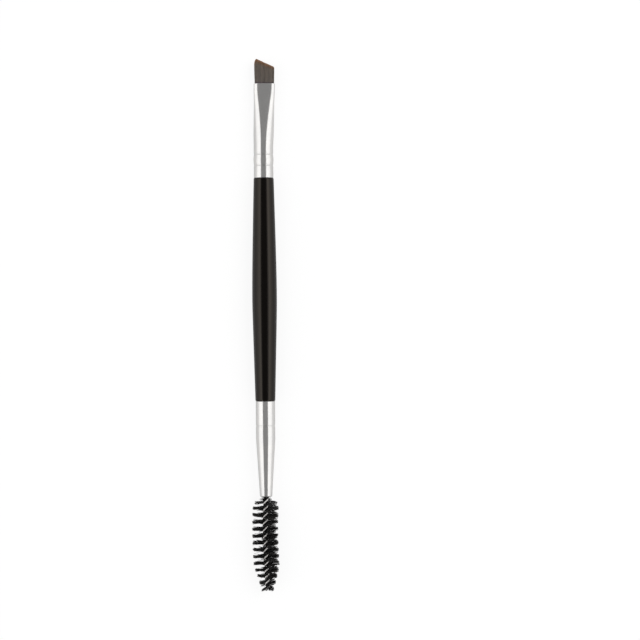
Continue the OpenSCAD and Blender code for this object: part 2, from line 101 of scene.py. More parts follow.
# Spoolie
WIRE_R = 0.3
LEG_R = 0.5
TWIST_PITCH = 4.16
TIP_TWIST = 0.18
TIGHTEN_EASE = 1.5  # length over which the twist starts to tighten towards the tip
STEM_LEN = 12.5
BRISTLE_START = 0.8
BRISTLE_LEN = 26.9
NECK_LEN = 2.0
TAPER_LEN = 7.7
SPOOLIE_R, NECK_R, TIP_R = 3.9, 3.1, 1.65
BARE_TIP = 0.4
WIRE_BEND = 0.36
BEND_WAVE = math.radians(245)
WIRE_OUT = BRISTLE_START + BRISTLE_LEN + BARE_TIP
SIDEWAYS_Z = NOSE_Z - BRISTLE_START - TWIST_PITCH / 8  # where bristles point straight to the sides
FOLD_Z = NOSE_Z + STEM_LEN
FOLD_EASE = 2.0  # length over which the twist dies out towards the fold

# How the brush lies: on its belly and on the first full row of bristles
FIRST_FULL = BRISTLE_START + NECK_LEN
REST_SLOPE = math.atan((SPOOLIE_R - BELLY_R) / (BELLY_AT + TAIL_FERRULE_LEN + FIRST_FULL))
AXIS_HEIGHT = max(BELLY_R * math.cos(REST_SLOPE) + BELLY_AT * math.sin(REST_SLOPE),
                  SPOOLIE_R * math.cos(REST_SLOPE) + (NOSE_Z - FIRST_FULL) * math.sin(REST_SLOPE))
MIDDLE_Z = (MOUTH_Z + HAIR_LEN + NOSE_Z - WIRE_OUT - WIRE_R / 2) / 2
MIDDLE_X = -WIRE_BEND / 2
LAID = (Matrix.Scale(MM, 4)
        @ Matrix.Translation((-MIDDLE_X, -MIDDLE_Z * math.cos(REST_SLOPE), AXIS_HEIGHT))
        @ Matrix.Rotation(-math.pi / 2 - REST_SLOPE, 4, "X"))


# Small helpers

def between(start, end, share):
    return start + (end - start) * share


def eased(share):
    s = min(max(share, 0.0), 1.0)
    return s * s * (3 - 2 * s)


def steps(low, high, count):
    """Evenly spaced values from low to high, both included."""
    return [between(low, high, k / count) for k in range(count + 1)]


def around(sides):
    """Cosines and sines of evenly spaced turns."""
    return [(math.cos(TURN * i / sides), math.sin(TURN * i / sides)) for i in range(sides)]


def bulged(value, power):
    """A cosine or sine raised to a power, with its sign kept, for ovals squarer than an ellipse."""
    return math.copysign(abs(value) ** power, value)


def rounded(centre_r, centre_z, radius, start, end, count=6):
    """Points of a rounded edge, as (radius, height) pairs, between two angles in degrees."""
    angles = [math.radians(a) for a in steps(start, end, count)]
    return [(centre_r + radius * math.cos(a), centre_z + radius * math.sin(a)) for a in angles]


def crimp(at, crimps):
    """Depth of the crimps at a distance from the wood."""
    off = min(abs(at - middle) for middle in crimps)
    return CRIMP_DEPTH * (1 + math.cos(TURN * off / CRIMP_W)) / 2 if off < CRIMP_W / 2 else 0.0


# Mesh making

def ring_faces(first, second, sides):
    """Quads between two rings of corners, given by the index of each ring's first corner."""
    pairs = [(i, (i + 1) % sides) for i in range(sides)]
    return [(first + i, first + j, second + j, second + i) for i, j in pairs]


def loft(rings, closed=False):
    """Corners and faces of a skin over rings, with its ends capped or, if closed, joined."""
    sides = len(rings[0])
    corners = [p for ring in rings for p in ring]
    faces = []
    for k in range(len(rings) - (0 if closed else 1)):
        faces += ring_faces(k * sides, (k + 1) % len(rings) * sides, sides)
    if not closed:
        faces.append(tuple(range(sides - 1, -1, -1)))
        faces.append(tuple(range((len(rings) - 1) * sides, len(rings) * sides)))
    return corners, faces


def lathe(outline, sides, closed=False):
    """A turned form from an outline of (radius, height) pairs."""
    return loft([[Vector((r * c, r * s, z)) for c, s in around(sides)] for r, z in outline], closed)


def strand(path, radii, sides):
    """A thin rod along a path, with a radius at each point."""
    turns = around(sides)
    rings = []
    out = None
    for k, point in enumerate(path):
        along = (path[min(k + 1, len(path) - 1)] - path[max(k - 1, 0)]).normalized()
        if out is None:
            out = along.orthogonal().normalized()
        out = (out - along * out.dot(along)).normalized()
        side = along.cross(out)
        rings.append([point + radii[k] * (c * out + s * side) for c, s in turns])
    return loft(rings)


def joined(forms):
    """Several (corners, faces) forms as one."""
    corners, faces = [], []
    for more_corners, more_faces in forms:
        base = len(corners)
        corners += more_corners
        faces += [tuple(base + i for i in face) for face in more_faces]
    return corners, faces


def piece(name, form, material, nodes, tones=None, reach=None):
    """Lays a form down in the row frame as a piece that replaces its CAD nodes."""
    corners, faces = form
    mesh = bpy.data.meshes.new(name)
    mesh.from_pydata([LAID @ corner for corner in corners], [], faces)
    mesh.polygons.foreach_set("use_smooth", [True] * len(mesh.polygons))
    for label, values in (("tone", tones), ("reach", reach)):
        if values:
            mesh.attributes.new(label, "FLOAT", "POINT").data.foreach_set("value", values)
    mesh.update()
    made = bpy.data.objects.new(name, mesh)
    bpy.context.collection.objects.link(made)
    mesh.materials.append(material)
    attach(made, "root")
    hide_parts(*nodes)


# Material making

def new_material(name):
    """An empty material and its Principled shader."""
    material = bpy.data.materials.new(name)
    material.use_nodes = True
    return material, material.node_tree, material.node_tree.nodes["Principled BSDF"]


def add(tree, kind, **settings):
    """A node with its properties set by name."""
    node = tree.nodes.new(kind)
    for key, value in settings.items():
        setattr(node, key, value)
    return node


def feed(tree, node, **inputs):
    """Sets or links a node's inputs by name, with underscores for spaces."""
    for key, value in inputs.items():
        socket = node.inputs[key.replace("_", " ")]
        if isinstance(value, bpy.types.NodeSocket):
            tree.links.new(value, socket)
        else:
            socket.default_value = value
    return node


def work(tree, operation, *values):
    """The result of one step of arithmetic with numbers or sockets."""
    node = add(tree, "ShaderNodeMath", operation=operation)
    for socket, value in zip(node.inputs, values):
        if isinstance(value, bpy.types.NodeSocket):
            tree.links.new(value, socket)
        else:
            socket.default_value = value
    return node.outputs[0]


def either(tree, factor, usual, special):
    """One value where a factor is 0 and another where it is 1."""
    node = add(tree, "ShaderNodeMix", data_type="FLOAT")
    return feed(tree, node, Factor=factor, A=usual, B=special).outputs["Result"]


def new_group(name, **inputs):
    """An empty node group that turns named numbers into a mask."""
    tree = bpy.data.node_groups.new(name, "ShaderNodeTree")
    for label, value in inputs.items():
        socket = tree.interface.new_socket(label.replace("_", " "), in_out="INPUT",
                                           socket_type="NodeSocketFloat")
        socket.default_value = value
    tree.interface.new_socket("Mask", in_out="OUTPUT", socket_type="NodeSocketFloat")
    return tree, tree.nodes.new("NodeGroupInput").outputs, tree.nodes.new("NodeGroupOutput")


def make_lengthwise_grain():
    """Fine lines that run along the brush: wood grain, drawing marks or streaks."""
    tree, given, result = new_group("lengthwise grain", Lines_Per_Mm=8.0, Stretch=30.0, Detail=3.0)
    place = add(tree, "ShaderNodeTexCoord")
    split = feed(tree, add(tree, "ShaderNodeSeparateXYZ"), Vector=place.outputs["Object"]).outputs
    across = work(tree, "MULTIPLY", given["Lines Per Mm"], 1 / MM)
    along = work(tree, "DIVIDE", across, given["Stretch"])
    stretched = {axis: work(tree, "MULTIPLY", split[axis], along if axis == "Y" else across)
                 for axis in "XYZ"}
    where = feed(tree, add(tree, "ShaderNodeCombineXYZ"), **stretched)
    noise = feed(tree, add(tree, "ShaderNodeTexNoise"), Vector=where.outputs[0], Scale=1.0,
                 Detail=given["Detail"], Roughness=0.6)
    feed(tree, result, Mask=noise.outputs["Fac"])
    return tree


def make_speckle():
    """Small soft blotches, for orange peel, haze and uneven polish."""
    tree, given, result = new_group("speckle", Spots_Per_Mm=2.0, Detail=2.0)
    place = add(tree, "ShaderNodeTexCoord")
    noise = feed(tree, add(tree, "ShaderNodeTexNoise"), Vector=place.outputs["Object"],
                 Scale=work(tree, "MULTIPLY", given["Spots Per Mm"], 1 / MM), Detail=given["Detail"])
    feed(tree, result, Mask=noise.outputs["Fac"])
    return tree


LENGTHWISE_GRAIN = make_lengthwise_grain()
SPECKLE = make_speckle()


def grain(tree, lines, stretch, detail=3.0):
    """A mask of lines along the brush, so many a millimetre and drawn out by a factor."""
    node = add(tree, "ShaderNodeGroup", node_tree=LENGTHWISE_GRAIN)
    return feed(tree, node, Lines_Per_Mm=lines, Stretch=stretch, Detail=detail).outputs["Mask"]


def speckle(tree, spots, detail=2.0):
    """A mask of blotches, so many a millimetre."""
    node = add(tree, "ShaderNodeGroup", node_tree=SPECKLE)
    return feed(tree, node, Spots_Per_Mm=spots, Detail=detail).outputs["Mask"]


def remap(tree, value, low, high, from_low=0.3, from_high=0.7):
    """A mask spread from one range to another."""
    node = add(tree, "ShaderNodeMapRange")
    feed(tree, node, Value=value, From_Min=from_low, From_Max=from_high, To_Min=low, To_Max=high)
    return node.outputs[0]


def stored(tree, label):
    """A number that the corners of a piece carry."""
    return add(tree, "ShaderNodeAttribute", attribute_name=label).outputs["Fac"]


def shade(tree, value, *stops):
    """A colour ramp over a mask, from (position, colour) stops."""
    node = add(tree, "ShaderNodeValToRGB")
    feed(tree, node, Fac=value)
    elements = node.color_ramp.elements
    while len(elements) < len(stops):
        elements.new(0.5)
    for element, (position, colour) in zip(elements, stops):
        element.position = position
        element.color = (*colour, 1.0)
    return node.outputs["Color"]


def blended(tree, way, colour, other):
    """Two colours multiplied or added."""
    node = add(tree, "ShaderNodeMix", data_type="RGBA", blend_type=way)
    feed(tree, node, Factor=1.0)
    colours = [socket for socket in node.inputs if socket.type == "RGBA"]
    tree.links.new(colour, colours[0])
    tree.links.new(other, colours[1])
    return next(socket for socket in node.outputs if socket.type == "RGBA")


def bump(tree, height, depth_mm, **under):
    """A bump of a real depth, from a mask, over the bump under it."""
    node = add(tree, "ShaderNodeBump")
    feed(tree, node, Height=height, Distance=depth_mm * MM, Strength=1.0, **under)
    return node.outputs["Normal"]


def lacquered_wood():
    """Black satin lacquer, with the wood's grain just telegraphing through it and a painted sheen in its
    colour.
    """
    material, tree, shader = new_material("black lacquered wood")
    lines = grain(tree, 3.0, 40.0, 4.0)
    colour = shade(tree, lines, (0.35, (0.0004, 0.0003, 0.0003)), (0.65, (0.0014, 0.001, 0.0008)))
    # Painted sheen: the base colour is lightened where the surface turns slightly away from the view,
    # standing in for a satin highlight
    facing = add(tree, "ShaderNodeLayerWeight").outputs["Facing"]
    painted_sheen = shade(tree, facing, (0.05, (0.0, 0.0, 0.0)), (0.07, (0.025, 0.022, 0.018)),
                  (0.105, (0.024, 0.021, 0.017)), (0.155, (0.011, 0.01, 0.008)), (0.22, (0.0, 0.0, 0.0)))
    colour = blended(tree, "ADD", colour, painted_sheen)
    peel = bump(tree, speckle(tree, 1.6), 0.002)
    relief = bump(tree, lines, 0.003, Normal=peel)
    feed(tree, shader, Base_Color=colour, Roughness=remap(tree, speckle(tree, 0.5, 4.0), 0.15, 0.21),
         Normal=relief, IOR=1.42, Specular_Tint=(1.0, 0.88, 0.78, 1.0))
    return material


def ferrule_metal():
    """Polished drawn aluminium: fine drawing lines and a slightly uneven polish."""
    material, tree, shader = new_material("polished aluminium")
    lines = grain(tree, 22.0, 60.0, 2.0)
    colour = shade(tree, speckle(tree, 0.25, 3.0), (0.3, (0.86, 0.85, 0.84)), (0.7, (0.92, 0.905, 0.885)))
    feed(tree, shader, Base_Color=colour, Metallic=0.86, Roughness=remap(tree, lines, 0.1, 0.17),
         Normal=bump(tree, lines, 0.0006))
    return material


def hair_fibre():
    """Grey-brown hair, darkened with painted shade where it leaves the ferrule, and fox-brown at the cut.
    """
    material, tree, shader = new_material("brush hair")
    # The first stop is painted shade under the ferrule's lip; the last stops are the hair's own fox-brown
    # tips
    along = shade(tree, stored(tree, "reach"), (0.0, (0.09, 0.064, 0.078)), (0.1, (0.16, 0.138, 0.12)),
                  (0.78, (0.165, 0.138, 0.113)), (0.92, (0.2, 0.128, 0.08)), (1.0, (0.42, 0.22, 0.12)))
    varied = shade(tree, stored(tree, "tone"), (0.0, (0.72, 0.72, 0.74)), (1.0, (1.25, 1.22, 1.2)))
    colour = blended(tree, "MULTIPLY", along, varied)
    feed(tree, shader, Base_Color=colour, Roughness=0.6,
         Normal=bump(tree, grain(tree, 30.0, 10.0), 0.002))
    return material


def nylon():
    """Black nylon with a soft shine, and a painted highlight that makes it greyer towards its cut ends.
    """
    material, tree, shader = new_material("black nylon")
    # The grey last stop is a painted highlight on the bristle ends
    along = shade(tree, stored(tree, "reach"), (0.0, (0.003, 0.003, 0.003)),
                  (0.8, (0.006, 0.0058, 0.0055)), (1.0, (0.02, 0.019, 0.018)))
    varied = shade(tree, stored(tree, "tone"), (0.0, (0.4, 0.4, 0.4)), (1.0, (1.7, 1.6, 1.5)))
    colour = blended(tree, "MULTIPLY", along, varied)
    feed(tree, shader, Base_Color=colour, Roughness=remap(tree, speckle(tree, 6.0), 0.38, 0.5),
         Normal=bump(tree, speckle(tree, 12.0), 0.002))
    return material


def drawn_wire():
    """Bright drawn steel wire with a dull haze, darkened with painted shade in the flanks where the
    bristles crowd it.
    """
    material, tree, shader = new_material("drawn steel wire")
    haze = speckle(tree, 1.2, 4.0)
    colour = shade(tree, haze, (0.3, (0.93, 0.9, 0.87)), (0.7, (0.98, 0.95, 0.92)))
    # Painted shade: the flanks, away from the crest, are darkened to stand in for the bristles' shade,
    # and only the crest keeps the bright colour
    painted_flank_shade = shade(tree, stored(tree, "reach"), (0.66, (0.06, 0.06, 0.06)), (0.93, (1.0, 1.0, 1.0)))
    colour = blended(tree, "MULTIPLY", colour, painted_flank_shade)
    feed(tree, shader, Base_Color=colour, Metallic=0.3, Roughness=remap(tree, haze, 0.4, 0.5),
         Normal=bump(tree, speckle(tree, 20.0), 0.001))
    return material


def amber_glue():
    """Clear amber epoxy."""
    material, tree, shader = new_material("amber epoxy")
    colour = shade(tree, speckle(tree, 1.0, 3.0), (0.3, (0.42, 0.3, 0.12)), (0.7, (0.58, 0.44, 0.2)))
    feed(tree, shader, Base_Color=colour, Roughness=remap(tree, speckle(tree, 2.0), 0.18, 0.3),
         Normal=bump(tree, speckle(tree, 0.8), 0.02))
    return material


# Camera, floor and light

FRAME_PX = 640
MM_PER_PX = 0.3015  # scale of the photograph at the brush
BRUSH_MIDDLE_PX = (264.2, 325.0)  # where the middle of the brush lies in the photograph
BRUSH_ROLL = math.radians(0.45)  # how far the brush leans to the left in the photograph
LENS, SENSOR = 135.0, 36.0
CLOSEST, FURTHEST = 0.01, 20.0  # what the camera sees, in metres


def make_camera():
    """Looks straight down on the brush, placed so that the brush falls where the photograph has it."""
    distance = FRAME_PX * MM_PER_PX * LENS / SENSOR * MM
    right = (FRAME_PX / 2 - BRUSH_MIDDLE_PX[0]) * MM_PER_PX * MM
    down = (FRAME_PX / 2 - BRUSH_MIDDLE_PX[1]) * MM_PER_PX * MM
    data = bpy.data.cameras.new("camera")
    data.lens, data.sensor_width = LENS, SENSOR
    camera = bpy.data.objects.new("camera", data)
    turned = Matrix.Rotation(-BRUSH_ROLL, 3, "Z")
    camera.location = turned @ Vector((right, -down, distance)) + Vector((0, 0, AXIS_HEIGHT * MM))
    camera.rotation_euler = (0, 0, -BRUSH_ROLL)
    data.clip_start, data.clip_end = CLOSEST, FURTHEST
    bpy.context.collection.objects.link(camera)
    bpy.context.scene.camera = camera


FLOOR_SIZE = 8.0  # in metres
FLOOR_GREY = 0.16
FLOOR_GREY_UNSEEN = 0.7  # the floor that the brush itself sees
LIFT = 0.865  # what the camera sees on top of the floor's own light, so that it looks white
LIFT_IN_MIRRORS = 0.03  # the same in mirrors


def make_floor():
    """A pale floor that looks white and keeps the shadow of the brush."""
    material = bpy.data.materials.new("white floor")
    material.use_nodes = True
    tree = material.node_tree
    tree.nodes.clear()
    ray = add(tree, "ShaderNodeLightPath").outputs
    grey = either(tree, ray["Is Camera Ray"], FLOOR_GREY_UNSEEN, FLOOR_GREY)
    paint = feed(tree, add(tree, "ShaderNodeBsdfDiffuse"), Color=grey)
    in_mirrors = work(tree, "MULTIPLY", ray["Is Glossy Ray"], LIFT_IN_MIRRORS)
    lift = feed(tree, add(tree, "ShaderNodeEmission"), Color=WHITE,
                Strength=work(tree, "MULTIPLY_ADD", ray["Is Camera Ray"], LIFT, in_mirrors))
    both = add(tree, "ShaderNodeAddShader")
    tree.links.new(paint.outputs[0], both.inputs[0])
    tree.links.new(lift.outputs[0], both.inputs[1])
    feed(tree, add(tree, "ShaderNodeOutputMaterial"), Surface=both.outputs[0])
    half = FLOOR_SIZE / 2
    mesh = bpy.data.meshes.new("floor")
    corners = [(-half, -half, 0), (half, -half, 0), (half, half, 0), (-half, half, 0)]
    mesh.from_pydata(corners, [], [(0, 1, 2, 3)])
    mesh.materials.append(material)
    floor = bpy.data.objects.new("floor", mesh)
    bpy.context.collection.objects.link(floor)


CEILING_HALF_ANGLE = math.radians(31)  # half width of the grey ceiling between the two white sides
CEILING_SOFTNESS = math.radians(5)
CEILING_GREY = 0.142
SIDE_WHITE = 1.12
HORIZON_WHITE = 0.9  # the sides are less bright at the horizon
FULL_WHITE_FROM = 0.45  # height of a ray from which they are fully bright
ENDS_GREY = 0.35  # share of all that light towards the two ends of the brush
ENDS_FROM, ENDS_TO = 0.35, 0.8  # lengthwise part of a ray where it starts to fall and where it stops
AMBIENT = 0.55  # light on everything that isn't a mirror
HORIZON_SEEN = 0.953  # what the camera sees where the floor ends, as bright as the far floor
WHITE_SEEN_FROM = 0.35  # height of a ray from which the camera sees white


def make_world():
    """Even soft light; metal and lacquer see a grey ceiling over the brush, between two white sides."""
    world = bpy.data.worlds.new("studio")
    world.use_nodes = True
    tree = world.node_tree
    tree.nodes.clear()
    look = feed(tree, add(tree, "ShaderNodeSeparateXYZ"),
                Vector=add(tree, "ShaderNodeTexCoord").outputs["Generated"]).outputs
    angle = work(tree, "ARCTAN2", work(tree, "ABSOLUTE", look["X"]), look["Z"])
    ceiling = remap(tree, angle, CEILING_GREY, SIDE_WHITE,
                    CEILING_HALF_ANGLE - CEILING_SOFTNESS / 2, CEILING_HALF_ANGLE + CEILING_SOFTNESS / 2)
    horizon = remap(tree, look["Z"], HORIZON_WHITE, SIDE_WHITE, 0.0, FULL_WHITE_FROM)
    endways = remap(tree, work(tree, "ABSOLUTE", look["Y"]), 1.0, ENDS_GREY, ENDS_FROM, ENDS_TO)
    mirrored = work(tree, "MULTIPLY", work(tree, "MINIMUM", ceiling, horizon), endways)
    background = remap(tree, look["Z"], HORIZON_SEEN, 1.0, 0.0, WHITE_SEEN_FROM)
    ray = add(tree, "ShaderNodeLightPath").outputs
    unseen = either(tree, ray["Is Glossy Ray"], AMBIENT, mirrored)
    light = feed(tree, add(tree, "ShaderNodeBackground"), Color=WHITE,
                 Strength=either(tree, ray["Is Camera Ray"], unseen, background))
    feed(tree, add(tree, "ShaderNodeOutputWorld"), Surface=light.outputs[0])
    bpy.context.scene.world = world


def make_lamp(name, place, size, power):
    """A soft square lamp aimed at the brush, which mirrors don't show."""
    data = bpy.data.lights.new(name, "AREA")
    data.size, data.energy = size, power
    lamp = bpy.data.objects.new(name, data)
    lamp.location = place
    lamp.rotation_euler = (-Vector(place)).to_track_quat("-Z", "Y").to_euler()
    lamp.visible_glossy = False
    bpy.context.collection.objects.link(lamp)


# Handle

HALF_HANDLE_RINGS = 60
TURNED_SIDES = 128


def belly_drop(share, softness):
    """Drop of the outline below the belly, 0 at the belly and 1 at the end of the wood."""
    return (math.hypot(share, softness) - softness) / (math.hypot(1, softness) - softness)


def half_handle(barrel_r, softness, end_z, way):
    """Outline of the wood from the belly to one end, and on to the tenon in the ferrule's barrel."""
    end_r = barrel_r + SHOULDER_STEP
    tenon_r = barrel_r - WALL - FIT_GAP
    shoulder_z = end_z - way * SHOULDER_ROUND
    outline = [(between(BELLY_R, end_r, belly_drop(s, softness)), between(BELLY_AT, shoulder_z, s))
               for s in steps(0, 1, HALF_HANDLE_RINGS)]
    outline += rounded(end_r - SHOULDER_ROUND, shoulder_z, SHOULDER_ROUND, 0, way * 90)[1:]
    return outline + [(tenon_r, end_z), (tenon_r, end_z + way * TENON_SHOWN)]


def make_handle():
    """Turned wood with its thickest place at the belly and a rounded shoulder at each end."""
    tail = half_handle(TAIL_BARREL_R, TAIL_SIDE_SOFTNESS, 0.0, -1)
    brush = half_handle(BRUSH_BARREL_R, BRUSH_SIDE_SOFTNESS, HANDLE_LEN, 1)
    form = lathe(tail[:0:-1] + brush, TURNED_SIDES)
    piece("turned_handle", form, lacquered_wood(), ["handle"])


# Ferrules

FLAT_SIDES, HALF_FLAT_RINGS = 144, 75
TAPERED_RINGS = 180


def swelling(at):
    """Height of the swelling between the two crimps of the brush ferrule, at a distance from the wood."""
    off = (at - SWELL_AT) / SWELL_LEN
    return SWELL * (1 + math.cos(TURN * off)) / 2 if abs(off) < 0.5 else 0.0


def ferrule_oval(at):
    """Half width, half thickness, squareness and sideways place of the brush ferrule's outside."""
    share = (at - FLAT_START) / FLAT_LEN
    flatness = eased((share - FLATTEN_FROM) / (FLATTEN_BY - FLATTEN_FROM))
    dent = crimp(at, BRUSH_CRIMPS) - swelling(at)
    half_w = between(BRUSH_BARREL_R, FLAT_HALF_W, eased(share / SPREAD_BY))
    half_w = between(half_w, MOUTH_HALF_W, eased((share - WIDEN_FROM) / (WIDEN_TO - WIDEN_FROM)))
    return (half_w - dent, between(BRUSH_BARREL_R, MOUTH_HALF_T, flatness) - dent,
            between(2.0, MOUTH_SQUARENESS, flatness), HEAD_SHIFT * min(max(share, 0), 1))


def oval_ring(oval, margin, z):
    """A ring of points on an oval, a margin inside it."""
    half_w, half_t, squareness, aside = oval
    power = 2 / squareness
    return [Vector((aside + (half_w - margin) * bulged(c, power),
                    (half_t - margin) * bulged(s, power), z)) for c, s in around(FLAT_SIDES)]


def make_brush_ferrule(metal):
    """A drawn tube, crimped on the wood and flattened towards its mouth, with a rounded lip."""
    stations = steps(0, FLAT_START, HALF_FLAT_RINGS)
    stations += steps(FLAT_START, BRUSH_FERRULE_LEN - LIP_ROUND, HALF_FLAT_RINGS)[1:]
    rings = [oval_ring(ferrule_oval(at), 0, HANDLE_LEN + at) for at in stations]
    rings += [oval_ring(ferrule_oval(BRUSH_FERRULE_LEN), LIP_ROUND - r, z)
              for r, z in rounded(0, MOUTH_Z - LIP_ROUND, LIP_ROUND, 0, 90)[1:]]
    rings += [oval_ring(ferrule_oval(at), WALL, HANDLE_LEN + at)
              for at in reversed(stations + [BRUSH_FERRULE_LEN])]
    piece("flattened_ferrule", loft(rings, closed=True), metal, ["brush_ferrule"])


def tail_r(at):
    """Outer radius of the tail ferrule at a distance from the wood."""
    slope = (TAIL_BARREL_R - NOSE_R) / (TAIL_FERRULE_LEN - NOSE_ROLL - CONE_START)
    return TAIL_BARREL_R - slope * max(0, at - CONE_START) - crimp(at, TAIL_CRIMPS)


def make_spoolie_ferrule(metal):
    """A drawn tube, crimped on the wood, that narrows to a nose with its edge rolled inwards."""
    stations = steps(LIP_ROUND, TAIL_FERRULE_LEN - NOSE_ROLL, TAPERED_RINGS)
    roll = (NOSE_R - NOSE_ROLL, NOSE_ROLL - TAIL_FERRULE_LEN)
    outline = rounded(TAIL_BARREL_R - LIP_ROUND, -LIP_ROUND, LIP_ROUND, 90, 0)[:-1]
    outline += [(tail_r(at), -at) for at in stations[:-1]]
    outline += rounded(*roll, NOSE_ROLL, 0, -90, count=10)
    outline += rounded(*roll, NOSE_ROLL - WALL, -90, 0, count=8)
    outline += [(tail_r(at) - WALL, -at) for at in stations[-2::-1] + [0.0]]
    form = lathe(outline[::-1], TURNED_SIDES, closed=True)
    piece("tapered_ferrule", form, metal, ["spoolie_ferrule"])


# Brush hair

TUFT_POWER = 2 / MOUTH_SQUARENESS
THINNING_CURVE = 1.3  # the tuft thins slowly at first
CORE_W, CORE_T = 0.97, 0.86  # shares of the tuft's width and thickness that the core takes
CORE_SIDES, CORE_SHARES = 96, steps(-0.2, 0.99, 24)
CORE_TONE = 0.25
HAIRS = 2600
HAIR_R, HAIR_SIDES, HAIR_STEPS = 0.042, 3, 7
HAIR_ENDING = (0.85, 0.45)  # shares of that radius at a hair's last two points
HAIR_HIDDEN = 1.2  # length of each hair that the ferrule's mouth hides
INNERMOST = 0.55  # how near the middle hairs are placed, as a share of the area
HAIR_T = 0.97  # share of the tuft's thickness that they take
LONGEST_HAIR = 1.03  # end of the longest ones, as a share of the way to the cut


def rounding(share):
    """Drop of a rounded corner, at a share of the way out to its end."""
    return 1 - math.sqrt(1 - min(max(share, 0), 1) ** 2)


def cut_height(x):
    """Height of the slanted cut above the mouth, at a place across the hair."""
    corner_x = CORNER_W - HAIR_HALF_W
    slant = max(0, x - corner_x) * math.tan(CUT_ANGLE)
    long_corner = CORNER_H * rounding((corner_x - x) / CORNER_W)
    short_corner = SHORT_CORNER * rounding((x - HAIR_HALF_W + SHORT_CORNER) / SHORT_CORNER)
    return HAIR_LEN - slant - long_corner - short_corner


def hair_place(u, v, share):
    """A place in the tuft: u and v across it from -1 to 1, share from the mouth to the cut."""
    grown = max(share, 0)
    x = u * between(HAIR_MOUTH_HALF_W, HAIR_HALF_W, grown)
    half_t = between(HAIR_MOUTH_HALF_T, EDGE_T / 2, grown ** THINNING_CURVE)
    return Vector((HEAD_SHIFT + x, v * half_t, MOUTH_Z + share * cut_height(x)))


def make_brush_hair():
    """Some thousand single hairs over a dark core, each trimmed at the slanted cut."""
    chance = random.Random(7)
    core = loft([[hair_place(CORE_W * bulged(c, TUFT_POWER), CORE_T * bulged(s, TUFT_POWER), share)
                  for c, s in around(CORE_SIDES)] for share in CORE_SHARES])
    forms, tones = [core], [CORE_TONE] * len(core[0])
    reach = [share for share in CORE_SHARES for _ in range(CORE_SIDES)]
    radii = [HAIR_R] * (HAIR_STEPS - 1) + [HAIR_R * share for share in HAIR_ENDING]
    for _ in range(HAIRS):
        angle = chance.uniform(0, TURN)
        depth = math.sqrt(chance.uniform(INNERMOST, 1.0))
        u = depth * bulged(math.cos(angle), TUFT_POWER)
        v = depth * bulged(math.sin(angle), TUFT_POWER) * HAIR_T
        drift_u, drift_v = chance.gauss(0, 0.012), chance.gauss(0, 0.05)
        wave, phase = chance.uniform(0.0, 0.02), chance.uniform(0, TURN)
        shares = steps(-HAIR_HIDDEN / HAIR_LEN, LONGEST_HAIR - abs(chance.gauss(0, 0.015)), HAIR_STEPS)
        path = []
        for share in shares:
            grown = max(share, 0)
            sway = wave * math.sin(phase + 5 * share) * grown
            path.append(hair_place(max(-1, min(1, u + drift_u * grown + sway)),
                                   max(-1, min(1, v + drift_v * grown)), share))
        forms.append(strand(path, radii, HAIR_SIDES))
        clump = 0.5 + 0.3 * math.sin(9 * u + 2 * v) * math.sin(23 * u + 1.3)
        tone = min(1, max(0, clump + chance.gauss(0, 0.22)))
        tones += [tone] * (len(path) * HAIR_SIDES)
        reach += [share for share in shares for _ in range(HAIR_SIDES)]
    piece("hair_tuft", joined(forms), hair_fibre(), ["brush_hair"], tones, reach)


# Spoolie

def bend(z):
    """Sideways bend of the spoolie at a height: one way at the ferrule, the other way at the tip."""
    return -WIRE_BEND * math.sin(BEND_WAVE * max(0, NOSE_Z - z) / WIRE_OUT)


def bristle_angle(z):
    """Direction of the bristles at a height; it turns right-handed up the wire, tighter at the tip."""
    past = max(0, NOSE_Z - BRISTLE_START - BRISTLE_LEN + TAPER_LEN - z)
    return TURN * (z - SIDEWAYS_Z - TIP_TWIST * past * past / (past + TIGHTEN_EASE)) / TWIST_PITCH


def leg_angle(z):
    """Angle of the first leg of the wire at a height; the twist dies out towards the fold."""
    past = max(0, z - FOLD_Z + FOLD_EASE)
    return bristle_angle(z) + math.pi / 2 - TURN / TWIST_PITCH * past * past / (2 * FOLD_EASE)


def leg_point(z, turned):
    """A point on the middle line of a leg, the first one or the one that is turned by half a turn."""
    a = leg_angle(z) + turned
    return Vector((bend(z) + LEG_R * math.cos(a), LEG_R * math.sin(a), z))


WIRE_SIDES = 18
LEG_STEPS, FOLD_STEPS = 380, 14


def make_spoolie_wire():
    """One wire, folded in half and twisted, with its two cut ends at the tip."""
    heights = steps(NOSE_Z - WIRE_OUT, FOLD_Z, LEG_STEPS)
    a = leg_angle(FOLD_Z)
    out = Vector((math.cos(a), math.sin(a), 0))
    fold = [Vector((0, 0, FOLD_Z)) + LEG_R * (math.cos(b) * out + math.sin(b) * Vector((0, 0, 1)))
            for b in steps(0, math.pi, FOLD_STEPS)[1:-1]]
    path = [leg_point(z, 0) for z in heights] + fold + [leg_point(z, math.pi) for z in reversed(heights)]
    form = strand(path, [WIRE_R] * len(path), WIRE_SIDES)
    # How far each corner faces out from the twist; the wire's material paints shade on the flanks from it
    crest = []
    for k, corner in enumerate(form[0]):
        point = path[k // WIRE_SIDES]
        out = point - Vector((bend(point.z), 0, point.z))
        crest.append(max(0.0, (corner - point).dot(out)) / (WIRE_R * LEG_R))
    piece("twisted_wire", form, drawn_wire(), ["spoolie_wire"], reach=crest)


